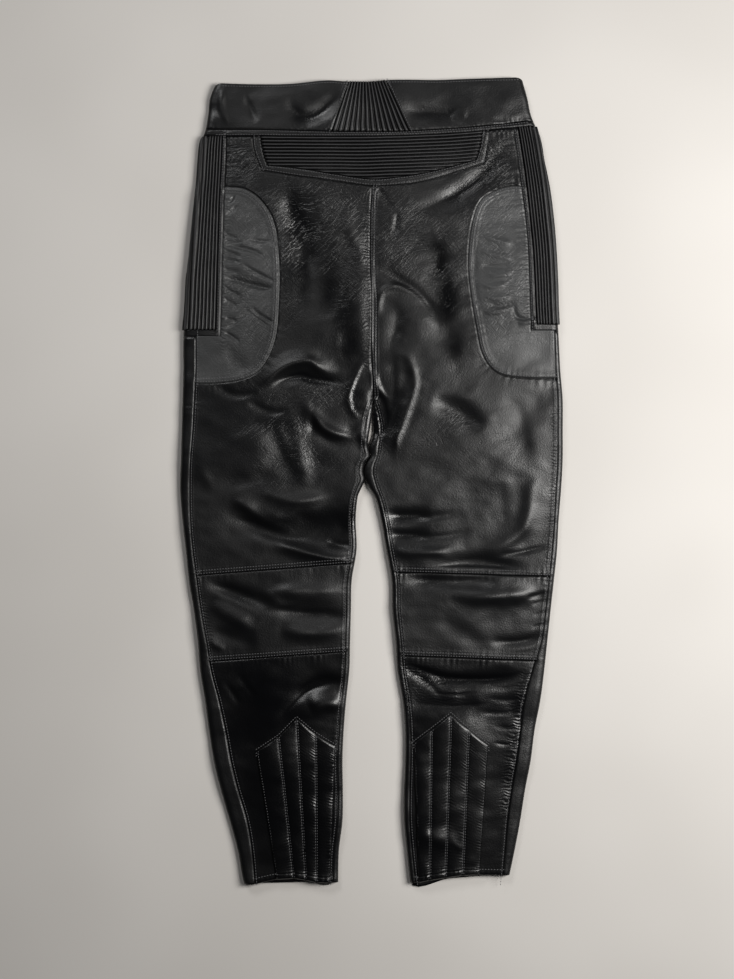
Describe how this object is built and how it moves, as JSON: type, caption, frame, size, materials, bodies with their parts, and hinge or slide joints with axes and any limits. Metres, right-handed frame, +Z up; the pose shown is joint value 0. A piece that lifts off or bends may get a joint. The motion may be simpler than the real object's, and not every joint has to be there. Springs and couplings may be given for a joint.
{
  "type": "motorcycle trousers",
  "caption": "Leather motorcycle trousers laid flat with the back up, with ribbed stretch panels at the yoke, waistband and sides, curved hip panels and channelled calf patches.",
  "frame": {"origin": "centre of the trousers' outline, on the floor that they lie on", "axes": "+Y from the hems to the waist, +Z up from the floor, +X to the right as the back is seen from above"},
  "size_m": [0.4771, 1.0033, 0.0147],
  "materials": {
    "leather": "black cowhide, semi-gloss, fine pebble grain and soft creases",
    "hip_leather": "black cowhide, smoother and shinier, fine wrinkles, grey sheen",
    "ribbed_stretch": "black leather gathered in narrow ribs over an elastic backing",
    "thread": "black bonded thread, double topstitching"
  },
  "bodies": {
    "root": {"seat_left": "leather", "seat_right": "leather", "hip_panel_left": "hip_leather", "hip_panel_right": "hip_leather", "side_stretch_left": "ribbed_stretch", "side_stretch_right": "ribbed_stretch", "side_binding_left": "leather", "side_binding_right": "leather", "knee_band_left": "leather", "knee_band_right": "leather", "calf_left": "leather", "calf_right": "leather", "calf_patch_left": "leather", "calf_patch_right": "leather", "front_left": "leather", "front_right": "leather", "waistband_back_left": "leather", "waistband_back_right": "leather", "waistband_front_left": "leather", "waistband_front_right": "leather", "yoke_frame": "leather", "yoke_stretch": "ribbed_stretch", "waistband_stretch": "ribbed_stretch", "waist_strip": "leather", "fly_placket": "leather"}
  },
  "joints": []
}
